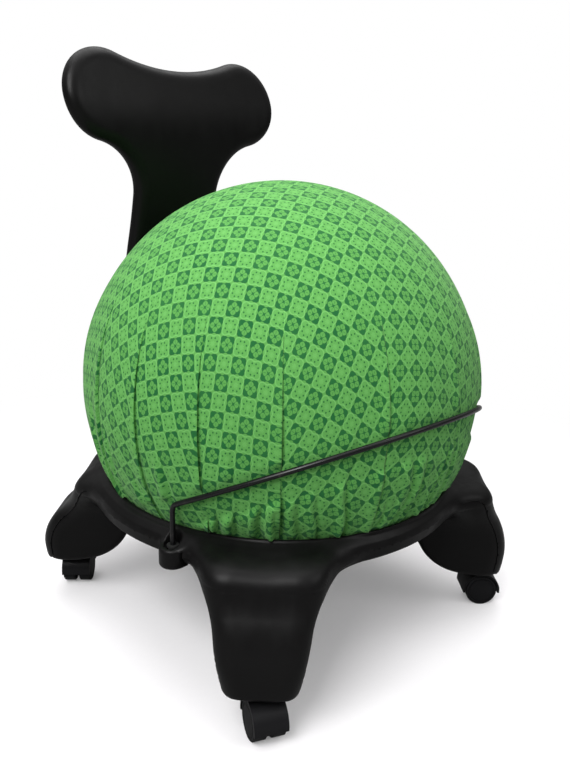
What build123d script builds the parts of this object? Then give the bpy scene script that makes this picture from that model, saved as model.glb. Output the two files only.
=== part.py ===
from build123d import *
import os
from math import asin, cos, pi, radians, sin, sqrt

# Exercise-ball chair. Millimetres, +Z up, the sitter faces -Y.
# Origin: on the floor, at the middle of the four-legged base.

# Ball and cover
ball_r = 262.0
ball_y = -8.0
ball_z = 334.5
cover_thick = 1.6
bladder_gap = 0.2
bladder_thick = 1.5
hem_angle = 27.0
hem_offset = 0.3
hem_tube_r = 1.9
cord_r = 1.2
valve_r = 4.0
valve_flange_r = 9.0
valve_tilt = 62.0

# Dish and ring
dish_gap = 2.6
wall = 4.0
rim_z = 200.0
crease_r = 252.0
crease_z = 189.0
skirt_r = 250.0
skirt_z = 176.0
ring_inner_r = 200.0
part_gap = 0.5

# Legs, in a leg's own frame: X outwards, Z up
leg_angles_front = (-45, -135)
leg_angles_rear = (45, 135)
leg_reach = 330.0
foot_z = 56.0
foot_half = 38.0
knee_half = 54.0
arch_half = 112.0
stem_x = 293.4
parting_depth = 15.0
rear_parting = 238.0

# Retaining bar and its bosses
bar_r = 3.175
bar_x = 238.6
bar_y = -85.0
bar_slope_rise = 0.516
hoop_r = 240.0
hoop_y = -62.4
hoop_z = 229.2
bar_bend_r = 9.0
bar_foot_z = 175.0
boss_r = 15.0
boss_top = 191.0
boss_bottom = 170.0
bush_r = 5.5
bush_flange_r = 7.0
bush_flange = 1.6
running_gap = 0.075

# Backrest
lobe_x = 119.0
lobe_z = 700.0
lobe_r = 63.0
dip_angle = 20.0
neck_half = 74.0
neck_fillet = 75.0
panel_thick = 32.0
panel_wall = 3.5
stem_y = 278.0
stem_bottom = 146.0
panel_top = 790.0
pad_half = 68.0
pad_face_y = 261.6

# Fasteners
bolt_r = 4.0
bolt_x = 38.0
bolt_rows = (160.0, 188.0)
bolt_head_r = 6.5
bolt_head_h = 8.0
washer_r = 8.5
washer_h = 1.6
counterbore_r = 9.2
insert_r = 6.0
insert_l = 16.0
screw_r = 2.0
screw_head_r = 3.8
screw_head_h = 2.6
post_r = 6.0

# Casters, in a caster's own frame: origin on the floor under the stem,
# X pointing the way the wheels trail
trail = 12.0
wheel_r = 22.5
wheel_w = 16.5
web_w = 5.0
wheel_gap = 0.6
axle_r = 3.0
hood_gap = 1.2
hood_thick = 2.8
hood_top = 49.8
pintle_r = 3.9
pintle_z = 43.4
stem_r = 5.0
stem_flange_r = 8.0
stem_flange_z = 50.0
stem_top = 88.0
groove_r = 4.3
groove_z = 75.0
groove_l = 8.0
socket_r = 8.5
socket_flange_r = 11.5
socket_flange = 1.8
socket_bore = 5.5
socket_top = 92.0
caster_x = stem_x * cos(radians(45))
caster_headings = {"front_left": (1, -1, -42), "front_right": (-1, -1, -113),
                   "rear_left": (1, 1, 35), "rear_right": (-1, 1, 49)}

os.makedirs("parts", exist_ok=True)
dish_r = ball_r + dish_gap
dish_outer_r = dish_r + wall
ball_centre = (0, ball_y, ball_z)


def save(piece, node):
    piece.part.label = node
    export_step(piece.part, f"parts/{node}.step")


def rounded_outline(corners):
    """A closed outline from (x, y, radius) corners."""
    polygon = Polygon(*[(x, y) for x, y, _ in corners], align=None)
    for x, y, radius in corners:
        if radius:
            corner = polygon.vertices().sort_by_distance((x, y, 0))[0]
            polygon = fillet(corner, radius)
    return polygon


# ---------------------------------------------------------------- base forms

def ring_form(inset):
    """The ring round the dish, drawn smaller by inset for its hollow."""
    with BuildPart() as ring:
        with BuildSketch(Plane.XZ):
            with BuildLine():
                Polyline((crease_r, crease_z), (skirt_r, skirt_z), (skirt_r - 6, skirt_z - 4),
                         (ring_inner_r + 12, skirt_z - 9), (ring_inner_r, skirt_z - 9),
                         (ring_inner_r, rim_z), (crease_r - 17, rim_z))
                ThreePointArc((crease_r - 17, rim_z), (crease_r - 5, rim_z - 4), (crease_r, crease_z))
            make_face()
            if inset:
                offset(amount=-inset)
        revolve(axis=Axis.Z)
    return ring.part


def leg_form(outer_face, inset):
    """A leg as the common part of its side, front and top views."""
    side = [(140, 203, 0)] + outer_face + [
        (leg_reach, foot_z, 12), (272, foot_z, 20), (226, foot_z + 22, 24),
        (192, foot_z + 70, 16), (165, foot_z + 94, 0)]
    half_front = [(foot_half, foot_z - 6, 12), (foot_half + 6, foot_z + 20, 0),
                  (knee_half, 138, 62), (arch_half, skirt_z + 4, 0), (arch_half, rim_z + 2, 0)]
    half_top = [(leg_reach + 2, 45, 26), (292, knee_half - 1, 0), (262, 70, 60),
                (220, arch_half, 0), (140, arch_half, 0)]
    with BuildPart() as leg:
        with BuildSketch(Plane.XZ):
            rounded_outline(side)
            if inset:
                offset(amount=-inset)
        extrude(amount=arch_half + 20, both=True)
        with BuildSketch(Plane.YZ.offset(120)):
            rounded_outline(half_front + [(-x, z, r) for x, z, r in reversed(half_front)])
            if inset:
                offset(amount=-inset)
        extrude(amount=240, mode=Mode.INTERSECT)
        with BuildSketch(Plane.XY):
            rounded_outline(half_top + [(x, -y, r) for x, y, r in reversed(half_top)])
            if inset:
                offset(amount=-inset)
        extrude(amount=240, mode=Mode.INTERSECT)
    return leg.part


def lower_zone(outer_face, parting_top, gap):
    """The space that the lower shell takes inside one leg."""
    face = [(x - parting_depth - gap, z, 0) for x, z, _ in outer_face[1:]]
    outline = [(120, -10, 0), (leg_reach + 20, -10, 0), (leg_reach + 20, foot_z + 7 - gap, 0),
               (leg_reach - parting_depth - gap, foot_z + 7 - gap, 0)]
    with BuildPart() as zone:
        with BuildSketch(Plane.XZ):
            rounded_outline(outline + face[::-1] + [
                (parting_top - gap, crease_z - gap, 0), (120, crease_z - gap, 0)])
        extrude(amount=arch_half + 8, both=True)
    return zone.part


def parting_step():
    """The block round a leg's root that its own parting line replaces."""
    with BuildPart() as step:
        with BuildSketch(Plane.XY.offset(crease_z - 40)):
            with Locations((rear_parting + 30, 0)):
                Rectangle(60, 2 * knee_half + 16)
        extrude(amount=50)
    return step.part


front_face = [(292, 204, 16), (leg_reach, 116, 50)]
rear_face = [(256, 200, 8), (leg_reach, 100, 34)]
legs = [(angle, front_face, crease_r) for angle in leg_angles_front]
legs += [(angle, rear_face, rear_parting) for angle in leg_angles_rear]
boss_places = [(bar_x, bar_y), (-bar_x, bar_y)]
foot_places = [(caster_x * sx, caster_x * sy) for sx, sy, _ in caster_headings.values()]
screw_places = [(239 * cos(radians(a)), 239 * sin(radians(a))) for a in (-80, -100, 4, 176, 70, 110)]
bolt_places = [(x, z) for x in (-bolt_x, bolt_x) for z in bolt_rows]

with BuildPart() as outer_form:
    add(ring_form(0))
    for angle, face, _ in legs:
        add(leg_form(face, 0), rotation=(0, 0, angle))
    with BuildSketch(Plane.XY.offset(boss_bottom)):
        with Locations(*boss_places):
            Circle(boss_r)
    extrude(amount=boss_top - boss_bottom)
    with BuildSketch(Plane.XY.offset(stem_bottom + 2)):
        with Locations((0, pad_face_y - 24)):
            Rectangle(2 * pad_half, 48)
    extrude(amount=rim_z - stem_bottom - 2)
    with Locations(ball_centre):
        Sphere(dish_outer_r, mode=Mode.SUBTRACT)

with BuildPart() as hollow_form:
    add(ring_form(wall))
    for angle, face, _ in legs:
        add(leg_form(face, wall), rotation=(0, 0, angle))
    with BuildSketch(Plane.XY.offset(100)):
        with Locations(*boss_places):
            Circle(boss_r - 2)
        with Locations(*screw_places):
            Circle(post_r)
        with Locations((0, pad_face_y - 24)):
            Rectangle(2 * pad_half, 48)
    extrude(amount=120, mode=Mode.SUBTRACT)
    with BuildSketch(Plane.XY.offset(foot_z - 10)):
        with Locations(*foot_places):
            Circle(socket_r + 3)
    extrude(amount=socket_top + 13 - foot_z, mode=Mode.SUBTRACT)


def lower_space(gap):
    """Everything under the parting line."""
    with BuildPart() as space:
        with BuildSketch(Plane.XY.offset(100)):
            Circle(crease_r + 20)
        extrude(amount=crease_z - gap - 100)
        for angle, _, _ in legs:
            add(parting_step(), rotation=(0, 0, angle), mode=Mode.SUBTRACT)
        for angle, face, parting_top in legs:
            add(lower_zone(face, parting_top, gap), rotation=(0, 0, angle))
        with BuildSketch(Plane.XY.offset(100)):
            with Locations(*boss_places):
                Circle(boss_r + gap)
            with Locations((0, pad_face_y - 24)):
                Rectangle(2 * (pad_half + gap), 48 + 2 * gap)
        extrude(amount=120, mode=Mode.SUBTRACT)
        with Locations(ball_centre):
            Sphere(dish_outer_r + gap, mode=Mode.SUBTRACT)
    return space.part


# ---------------------------------------------------------------- base shells

with BuildPart() as base_upper_shell:
    add(outer_form.part)
    add(hollow_form.part, mode=Mode.SUBTRACT)
    add(lower_space(0), mode=Mode.SUBTRACT)
    with BuildSketch(Plane.XZ.offset(-ball_y)):
        with BuildLine():
            rim_reach = sqrt(dish_r ** 2 - (ball_z - rim_z) ** 2)
            outer_reach = sqrt(dish_outer_r ** 2 - (ball_z - rim_z) ** 2)
            RadiusArc((0, ball_z - dish_r), (rim_reach, rim_z), -dish_r)
            Line((rim_reach, rim_z), (outer_reach, rim_z))
            RadiusArc((0, ball_z - dish_outer_r), (outer_reach, rim_z), -dish_outer_r)
            Line((0, ball_z - dish_outer_r), (0, ball_z - dish_r))
        make_face()
    revolve(axis=Axis((0, ball_y, 0), (0, 0, 1)))
    with Locations(*[(x, y, boss_top) for x, y in boss_places]):
        CounterBoreHole(bush_r, bush_flange_r, bush_flange, boss_top - bar_foot_z + 2.0)
    with BuildSketch(Plane.XZ.offset(-pad_face_y)):
        with Locations(*bolt_places):
            Circle(insert_r)
    extrude(amount=insert_l, mode=Mode.SUBTRACT)
    with BuildSketch(Plane.XY.offset(skirt_z - 20)):
        with Locations(*screw_places):
            Circle(screw_r)
    extrude(amount=rim_z - 3 - skirt_z + 20, mode=Mode.SUBTRACT)
save(base_upper_shell, "base_upper_shell")

with BuildPart() as base_lower_shell:
    add(outer_form.part)
    add(hollow_form.part, mode=Mode.SUBTRACT)
    add(lower_space(part_gap), mode=Mode.INTERSECT)
    with BuildSketch(Plane.XY.offset(foot_z - 20)):
        with Locations(*foot_places):
            Circle(socket_r)
    extrude(amount=100, mode=Mode.SUBTRACT)
    with BuildSketch(Plane.XY.offset(foot_z - 20)):
        with Locations(*foot_places):
            Circle(socket_flange_r)
    extrude(amount=20 + socket_flange, mode=Mode.SUBTRACT)
    with BuildSketch(Plane.XY.offset(skirt_z - 20)):
        with Locations(*screw_places):
            Circle(screw_r)
    extrude(amount=40, mode=Mode.SUBTRACT)
    with BuildSketch(Plane.XY.offset(skirt_z - 20)):
        with Locations(*screw_places):
            Circle(screw_head_r + 0.3)
    extrude(amount=20, mode=Mode.SUBTRACT)
save(base_lower_shell, "base_lower_shell")

with BuildPart() as base_screws:
    with BuildSketch(Plane.XY.offset(skirt_z - screw_head_h)):
        with Locations(*screw_places):
            Circle(screw_head_r)
    extrude(amount=screw_head_h)
    with BuildSketch(Plane.XY.offset(skirt_z)):
        with Locations(*screw_places):
            Circle(screw_r - 0.02)
    extrude(amount=16)
    with BuildSketch(Plane.XY.offset(skirt_z - screw_head_h)):
        with Locations(*screw_places):
            RegularPolygon(1.6, 6)
    extrude(amount=1.4, mode=Mode.SUBTRACT)
save(base_screws, "base_screws")

with BuildPart() as bar_bushes:
    with BuildSketch(Plane.XY.offset(bar_foot_z - 1.6)):
        with Locations(*boss_places):
            Circle(bush_r - 0.02)
    extrude(amount=boss_top - bar_foot_z + 1.6)
    with BuildSketch(Plane.XY.offset(boss_top - bush_flange + 0.02)):
        with Locations(*boss_places):
            Circle(bush_flange_r - 0.1)
    extrude(amount=bush_flange + 0.8)
    with BuildSketch(Plane.XY.offset(bar_foot_z - 0.4)):
        with Locations(*boss_places):
            Circle(bar_r + running_gap)
    extrude(amount=30, mode=Mode.SUBTRACT)
save(bar_bushes, "bar_bushes")


# ---------------------------------------------------------------- retaining bar

def on_hoop(angle, radius=hoop_r):
    """A point of the hoop's tilted circle: 0 degrees at +X, 90 at the front."""
    slope = sqrt(1 + bar_slope_rise ** 2)
    forward = radius * sin(angle) / slope
    return Vector(radius * cos(angle), hoop_y - forward, hoop_z + forward * bar_slope_rise)


bend_forward = (hoop_y - bar_y) * sqrt(1 + bar_slope_rise ** 2)
leg_angle = asin(bend_forward / hoop_r)
bend_angle = leg_angle + bar_bend_r / hoop_r
leg_x = on_hoop(leg_angle).X
leg_top = on_hoop(leg_angle).Z - bar_bend_r
hoop_start = on_hoop(bend_angle)
hoop_heading = on_hoop(bend_angle + 0.001) - hoop_start
with BuildPart() as retaining_bar:
    with BuildLine() as bar_path:
        bar_leg = Line((leg_x, bar_y, bar_foot_z), (leg_x, bar_y, leg_top))
        bend = Spline((leg_x, bar_y, leg_top), hoop_start, tangents=[(0, 0, 1), hoop_heading])
        ThreePointArc(hoop_start, on_hoop(pi / 2), on_hoop(pi - bend_angle))
        mirror(bend, about=Plane.YZ)
        mirror(bar_leg, about=Plane.YZ)
    with BuildSketch(Plane((leg_x, bar_y, bar_foot_z), z_dir=(0, 0, 1))):
        Circle(bar_r)
    sweep(path=bar_path.wires()[0])
    chamfer(retaining_bar.faces().sort_by(Axis.Z)[:2].edges(), 0.6)
save(retaining_bar, "retaining_bar")


# ---------------------------------------------------------------- backrest

def backrest_outline(inset, bottom):
    """Front view of the two-lobed panel, drawn smaller by inset."""
    angle = radians(dip_angle)
    top = (lobe_x - lobe_r * sin(angle), lobe_z + lobe_r * cos(angle))
    dip_z = top[1] - top[0] / sin(angle) * (1 - cos(angle))
    centre_x = neck_half + neck_fillet
    drop = sqrt((lobe_r + neck_fillet) ** 2 - (lobe_x - centre_x) ** 2)
    share = neck_fillet / (lobe_r + neck_fillet)
    waist = (centre_x + (lobe_x - centre_x) * share, lobe_z - drop + drop * share)
    neck_side = centre_x - neck_fillet * sin(radians(70))
    neck_mid = (neck_side, lobe_z - drop + neck_fillet * cos(radians(70)))
    outer = (lobe_x + lobe_r * cos(radians(20)), lobe_z - lobe_r * sin(radians(20)))
    with BuildSketch() as outline:
        with BuildLine():
            lobe = ThreePointArc(top, outer, waist)
            hollow = ThreePointArc(waist, neck_mid, (neck_half, lobe_z - drop))
            side = Line((neck_half, lobe_z - drop), (neck_half, bottom))
            mirror(lobe, about=Plane.YZ)
            mirror(hollow, about=Plane.YZ)
            mirror(side, about=Plane.YZ)
            Line((neck_half, bottom), (-neck_half, bottom))
            ThreePointArc((-top[0], top[1]), (0, dip_z), top)
        make_face()
        if inset:
            offset(amount=-inset)
    return outline.sketch


def spine(start):
    """Side view of the panel's middle surface: up the stem, forward, then back."""
    with BuildLine() as line:
        low = Line((stem_y, start), (stem_y, 330))
        lean = TangentArc((stem_y, 330), (253, 500), tangent=low % 1)
        rise = TangentArc((253, 500), (226, 640), tangent=lean % 1)
        turn = TangentArc((226, 640), (230.5, 700), tangent=rise % 1)
        PolarLine(turn @ 1, panel_top - 700, direction=turn % 1)
    return line.wires()[0]


def side_plane(x):
    return Plane((x, 0, 0), x_dir=(0, 1, 0), z_dir=(1, 0, 0))


def backrest_form(inset, bottom, start):
    with BuildPart() as form:
        with BuildSketch(Plane.XZ.offset(-330)):
            add(backrest_outline(inset, bottom))
        extrude(amount=200)
        with BuildSketch(side_plane(-200)):
            trace(spine(start), panel_thick - 2 * inset)
        extrude(amount=400, mode=Mode.INTERSECT)
    return form.part


def front_half_space():
    """Everything in front of the panel's middle surface."""
    with BuildPart() as space:
        with BuildSketch(side_plane(-200)):
            with BuildLine():
                curve = spine(stem_bottom - 10)
                add(curve.edges())
                start = curve @ 0
                end = curve @ 1
                Polyline((start.X, start.Y), (100, start.Y), (100, end.Y), (end.X, end.Y))
            make_face()
        extrude(amount=400)
    return space.part


upper_seat = 245.6
lower_seat = 253.2
panel_screws = [(-lobe_x, lobe_z, upper_seat), (lobe_x, lobe_z, upper_seat),
                (-40, 560, lower_seat), (40, 560, lower_seat)]

with BuildPart() as backrest_form_solid:
    add(backrest_form(0, stem_bottom, stem_bottom - 10))

with BuildPart() as backrest_cavity:
    add(backrest_form(panel_wall, stem_bottom + 70, stem_bottom + 60))
    with BuildSketch(Plane.XZ.offset(-330)):
        with Locations(*[(x, z) for x, z, _ in panel_screws]):
            Circle(post_r)
    extrude(amount=200, mode=Mode.SUBTRACT)

with BuildPart() as backrest_front_shell:
    add(backrest_form_solid.part)
    add(backrest_cavity.part, mode=Mode.SUBTRACT)
    add(front_half_space(), mode=Mode.INTERSECT)
    with BuildSketch(Plane.XZ.offset(-330)):
        with Locations(*bolt_places):
            Circle(bolt_r + 0.1)
    extrude(amount=100, mode=Mode.SUBTRACT)
    for x, z, seat in panel_screws:
        with BuildSketch(Plane.XZ.offset(-seat)):
            with Locations((x, z)):
                Circle(screw_r)
        extrude(amount=24, mode=Mode.SUBTRACT)
save(backrest_front_shell, "backrest_front_shell")

with BuildPart() as backrest_rear_shell:
    add(backrest_form_solid.part)
    add(backrest_cavity.part, mode=Mode.SUBTRACT)
    add(front_half_space(), mode=Mode.SUBTRACT)
    with BuildSketch(Plane.XZ.offset(-330)):
        with Locations(*bolt_places):
            Circle(bolt_r + 0.1)
    extrude(amount=100, mode=Mode.SUBTRACT)
    with BuildSketch(Plane.XZ.offset(-330)):
        with Locations(*bolt_places):
            Circle(counterbore_r)
    extrude(amount=330 - stem_y - 6, mode=Mode.SUBTRACT)
    for x, z, seat in panel_screws:
        with BuildSketch(Plane.XZ.offset(-seat)):
            with Locations((x, z)):
                Circle(screw_r)
        extrude(amount=24, mode=Mode.SUBTRACT)
        with BuildSketch(Plane.XZ.offset(-330)):
            with Locations((x, z)):
                Circle(screw_head_r + 0.3)
        extrude(amount=330 - seat, mode=Mode.SUBTRACT)
save(backrest_rear_shell, "backrest_rear_shell")

with BuildPart() as backrest_shell_screws:
    for x, z, seat in panel_screws:
        with BuildSketch(Plane.XZ.offset(-seat - screw_head_h)):
            with Locations((x, z)):
                Circle(screw_head_r)
        extrude(amount=screw_head_h)
        with BuildSketch(Plane.XZ.offset(-seat)):
            with Locations((x, z)):
                Circle(screw_r - 0.02)
        extrude(amount=22)
        with BuildSketch(Plane.XZ.offset(-seat - screw_head_h)):
            with Locations((x, z)):
                RegularPolygon(1.6, 6)
        extrude(amount=1.4, mode=Mode.SUBTRACT)
save(backrest_shell_screws, "backrest_shell_screws")

seat_y = stem_y + 6

with BuildPart() as backrest_washers:
    with BuildSketch(Plane.XZ.offset(-seat_y - washer_h)):
        with Locations(*bolt_places):
            Circle(washer_r)
            Circle(bolt_r + 0.1, mode=Mode.SUBTRACT)
    extrude(amount=washer_h)
save(backrest_washers, "backrest_washers")

with BuildPart() as backrest_bolts:
    with BuildSketch(Plane.XZ.offset(-seat_y - washer_h - bolt_head_h)):
        with Locations(*bolt_places):
            Circle(bolt_head_r)
    extrude(amount=bolt_head_h)
    with BuildSketch(Plane.XZ.offset(-seat_y - washer_h)):
        with Locations(*bolt_places):
            Circle(bolt_r)
    extrude(amount=seat_y + washer_h - pad_face_y + insert_l - 2)
    with BuildSketch(Plane.XZ.offset(-seat_y - washer_h - bolt_head_h)):
        with Locations(*bolt_places):
            RegularPolygon(3.2, 6)
    extrude(amount=4, mode=Mode.SUBTRACT)
save(backrest_bolts, "backrest_bolts")

with BuildPart() as backrest_inserts:
    with BuildSketch(Plane.XZ.offset(-pad_face_y)):
        with Locations(*bolt_places):
            Circle(insert_r - 0.02)
            Circle(bolt_r + 0.02, mode=Mode.SUBTRACT)
    extrude(amount=insert_l - 0.2)
save(backrest_inserts, "backrest_inserts")


# ---------------------------------------------------------------- ball and cover

bladder_r = ball_r - cover_thick - bladder_gap
valve_plane = Plane(ball_centre, z_dir=(0, sin(radians(valve_tilt)), -cos(radians(valve_tilt))))

with BuildPart() as ball_bladder:
    with Locations(ball_centre):
        Sphere(bladder_r)
        Sphere(bladder_r - bladder_thick, mode=Mode.SUBTRACT)
    with BuildSketch(valve_plane.offset(bladder_r - 9)):
        Circle(valve_flange_r)
    extrude(amount=9 - bladder_thick + 0.5)
    with BuildSketch(valve_plane.offset(bladder_r - 12)):
        Circle(valve_r)
    extrude(amount=20, mode=Mode.SUBTRACT)
save(ball_bladder, "ball_bladder")

with BuildPart() as ball_valve_plug:
    with BuildSketch(valve_plane.offset(bladder_r - 9)):
        Circle(valve_r - 0.02)
    extrude(amount=8.6)
save(ball_valve_plug, "ball_valve_plug")


def below(radius):
    """Point of a sphere round the ball's centre where the hem runs, in a side view."""
    return (radius * sin(radians(hem_angle)), ball_z - radius * cos(radians(hem_angle)))


cover_inner = ball_r - cover_thick
with BuildPart() as fabric_cover:
    with BuildSketch(Plane.XZ.offset(-ball_y)):
        with BuildLine():
            ThreePointArc((0, ball_z + ball_r), (ball_r, ball_z), below(ball_r))
            Line(below(ball_r), below(cover_inner))
            ThreePointArc((0, ball_z + cover_inner), (cover_inner, ball_z), below(cover_inner))
            Line((0, ball_z + cover_inner), (0, ball_z + ball_r))
        make_face()
        with Locations(below(ball_r + hem_offset)):
            Circle(hem_tube_r)
            Circle(cord_r + 0.05, mode=Mode.SUBTRACT)
    revolve(axis=Axis((0, ball_y, 0), (0, 0, 1)))
save(fabric_cover, "fabric_cover")

with BuildPart() as cover_hem_cord:
    with BuildSketch(Plane.XZ.offset(-ball_y)):
        with Locations(below(ball_r + hem_offset)):
            Circle(cord_r)
    revolve(axis=Axis((0, ball_y, 0), (0, 0, 1)))
save(cover_hem_cord, "cover_hem_cord")


# ---------------------------------------------------------------- casters

hood_inner_r = wheel_r + hood_gap
hood_outer_r = hood_inner_r + hood_thick
hood_half = web_w / 2 + wheel_gap + wheel_w + 0.6

with BuildPart() as hood:
    with BuildSketch(Plane.XZ):
        with Locations((trail, wheel_r)):
            Circle(hood_outer_r)
            Circle(hood_inner_r, mode=Mode.SUBTRACT)
        with Locations((trail, wheel_r - 33)):
            Rectangle(80, 60, mode=Mode.SUBTRACT)
    extrude(amount=hood_half, both=True)
    with BuildSketch(Plane.XZ):
        with Locations((trail, wheel_r)):
            Circle(hood_inner_r + 0.5)
        with Locations((trail, wheel_r - 34)):
            Rectangle(80, 60, mode=Mode.SUBTRACT)
        with Locations((trail, wheel_r)):
            Circle(6.5)
    extrude(amount=web_w / 2, both=True)
    with BuildSketch(Plane.XY.offset(wheel_r + 3)):
        Circle(7.5)
    extrude(amount=hood_top - wheel_r - 3)
    for side in (1, -1):
        with BuildSketch(Plane.XZ.offset(side * (web_w / 2 + wheel_gap / 2))):
            with Locations((trail, wheel_r)):
                Circle(wheel_r + 0.6)
        extrude(amount=side * 30, mode=Mode.SUBTRACT)
    with BuildSketch(Plane.XZ):
        with Locations((trail, wheel_r)):
            Circle(axle_r + 0.02)
    extrude(amount=10, both=True, mode=Mode.SUBTRACT)
    with BuildSketch(Plane.XY.offset(pintle_z - 0.2)):
        Circle(pintle_r + 0.06)
    extrude(amount=40, mode=Mode.SUBTRACT)

with BuildPart() as axle:
    with BuildSketch(Plane.XZ):
        with Locations((trail, wheel_r)):
            Circle(axle_r)
    extrude(amount=hood_half - 4, both=True)
    chamfer(axle.edges().filter_by(GeomType.CIRCLE), 0.5)

with BuildPart() as wheel:
    with BuildSketch(Plane.XZ.offset(web_w / 2 + wheel_gap)):
        with Locations((trail, wheel_r)):
            Circle(wheel_r)
    extrude(amount=wheel_w)
    chamfer(wheel.edges().filter_by(GeomType.CIRCLE), 1.2)
    with BuildSketch(Plane.XZ.offset(web_w / 2 + wheel_gap)):
        with Locations((trail, wheel_r)):
            Circle(wheel_r - 4)
            Circle(6, mode=Mode.SUBTRACT)
    extrude(amount=wheel_w - 4, mode=Mode.SUBTRACT)
    with BuildSketch(Plane.XZ.offset(web_w / 2 + wheel_gap)):
        with Locations((trail, wheel_r)):
            Circle(axle_r + running_gap)
    extrude(amount=wheel_w - 2, mode=Mode.SUBTRACT)
    with BuildSketch(Plane.XZ.offset(web_w / 2 + wheel_gap + wheel_w - 0.8)):
        with Locations((trail, wheel_r)):
            Circle(wheel_r - 4)
            Circle(wheel_r - 5, mode=Mode.SUBTRACT)
    extrude(amount=0.8, mode=Mode.SUBTRACT)

with BuildPart() as stem:
    with BuildSketch(Plane.XY.offset(pintle_z)):
        Circle(pintle_r)
    extrude(amount=stem_flange_z - pintle_z)
    with BuildSketch(Plane.XY.offset(stem_flange_z)):
        Circle(stem_flange_r)
    extrude(amount=foot_z - 2 - stem_flange_z)
    with BuildSketch(Plane.XY.offset(foot_z - 2)):
        Circle(stem_r)
    extrude(amount=stem_top - foot_z + 2)
    chamfer(stem.faces().sort_by(Axis.Z)[-1].edges(), 1.2)
    with BuildSketch(Plane.XY.offset(groove_z)):
        Circle(stem_r + 1)
        Circle(groove_r, mode=Mode.SUBTRACT)
    extrude(amount=groove_l, mode=Mode.SUBTRACT)

for name, (sx, sy, heading) in caster_headings.items():
    place = Location((caster_x * sx, caster_x * sy, 0), (0, 0, heading))
    mirrored = wheel.part.mirror(Plane.XZ)
    pieces = {"hood": hood.part, "axle": axle.part, "stem": stem.part,
              "wheel_a": wheel.part, "wheel_b": mirrored}
    for piece, shape in pieces.items():
        with BuildPart() as placed:
            with Locations(place):
                add(shape)
        save(placed, f"caster_{name}_{piece}")

with BuildPart() as stem_sockets:
    with BuildSketch(Plane.XY.offset(foot_z - 1.9)):
        with Locations(*foot_places):
            Circle(socket_flange_r - 0.1)
    extrude(amount=socket_flange + 1.8)
    with BuildSketch(Plane.XY.offset(foot_z)):
        with Locations(*foot_places):
            Circle(socket_r - 0.02)
    extrude(amount=socket_top - foot_z)
    with BuildSketch(Plane.XY.offset(foot_z - 4)):
        with Locations(*foot_places):
            Circle(socket_bore)
    extrude(amount=stem_top - foot_z + 5, mode=Mode.SUBTRACT)
save(stem_sockets, "stem_sockets")

with BuildPart() as stem_grip_rings:
    with BuildSketch(Plane.XY.offset(groove_z + 0.3)):
        with Locations(*foot_places):
            Circle(socket_bore - 0.04)
            Circle(groove_r + 0.06, mode=Mode.SUBTRACT)
            with Locations((socket_bore, 0)):
                Rectangle(6, 1.6, mode=Mode.SUBTRACT)
    extrude(amount=groove_l - 0.6)
save(stem_grip_rings, "stem_grip_rings")
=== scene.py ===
import cmath
import math

import bpy
import numpy as np
from mathutils import Matrix, Vector


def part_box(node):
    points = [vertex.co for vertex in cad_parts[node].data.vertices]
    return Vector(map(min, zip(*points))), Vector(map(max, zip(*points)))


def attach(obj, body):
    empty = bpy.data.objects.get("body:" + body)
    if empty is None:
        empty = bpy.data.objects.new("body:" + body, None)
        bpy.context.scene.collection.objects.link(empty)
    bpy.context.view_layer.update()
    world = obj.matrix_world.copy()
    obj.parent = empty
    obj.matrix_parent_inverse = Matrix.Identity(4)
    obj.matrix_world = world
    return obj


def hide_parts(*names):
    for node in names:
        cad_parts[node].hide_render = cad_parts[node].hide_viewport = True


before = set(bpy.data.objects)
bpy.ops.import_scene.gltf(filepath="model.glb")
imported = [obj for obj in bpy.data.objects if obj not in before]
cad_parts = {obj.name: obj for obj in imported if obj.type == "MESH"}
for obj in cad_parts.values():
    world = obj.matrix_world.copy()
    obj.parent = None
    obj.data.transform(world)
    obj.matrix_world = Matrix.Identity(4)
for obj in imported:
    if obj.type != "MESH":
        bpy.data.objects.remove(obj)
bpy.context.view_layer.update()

MM = 0.001
rng = np.random.default_rng(7)


# ------------------------------------------------------------------ places from the frame, in mm

def lo_hi(node):
    low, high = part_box(node)
    return np.array(low) / MM, np.array(high) / MM


upper_lo, upper_hi = lo_hi("base_upper_shell")
lower_lo, lower_hi = lo_hi("base_lower_shell")
cover_lo, cover_hi = lo_hi("fabric_cover")
back_lo, back_hi = lo_hi("backrest_front_shell")
rear_lo, rear_hi = lo_hi("backrest_rear_shell")
bushes_lo, bushes_hi = lo_hi("bar_bushes")
bar_lo, bar_hi = lo_hi("retaining_bar")
cord_lo, cord_hi = lo_hi("cover_hem_cord")
sockets_hi = lo_hi("stem_sockets")[1]
screws_hi = lo_hi("backrest_shell_screws")[1]

BALL_R = (cover_hi[0] - cover_lo[0]) / 2
BALL = np.array([0.0, (cover_lo[1] + cover_hi[1]) / 2, cover_hi[2] - BALL_R])
DISH_R = BALL_R + 2.6
DISH_WALL = 4.0
RIM_Z = 200.0
LIP_Z = 208.0
FOOT_Z = lower_lo[2]
CREASE_Z = lower_hi[2] + 0.5
RING_R = 252.0
BOSS_X = bushes_hi[0] - 6.9
BOSS_Y = (bushes_lo[1] + bushes_hi[1]) / 2
BOSS_R = 16.5
BOSS_TOP = bushes_hi[2] - 0.8
BOSS_HALF_HIGH = 12.5
BOSS_BORE_R, BOSS_BORE_DEEP = 7.1, 18.0
BOSS_CUP_R, BOSS_CUP_DEEP = 10.5, 3.0
PAD_HALF_WIDE, PAD_HALF_HIGH, PAD_HALF_DEEP = 68.0, 26.0, 24.0
PAD_Y = upper_hi[1] - PAD_HALF_DEEP
PAD_Z = 174.0
PAD_ROUND = 4.0
FOOT_X = sockets_hi[0] - 11.4
SOCKET_R, SOCKET_DEEP = 11.6, 38.0
BAR_R = 3.175
BAR_SLOPE = 0.516


def smoothstep(low, high, value):
    t = np.clip((value - low) / (high - low), 0, 1)
    return t * t * (3 - 2 * t)


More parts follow.
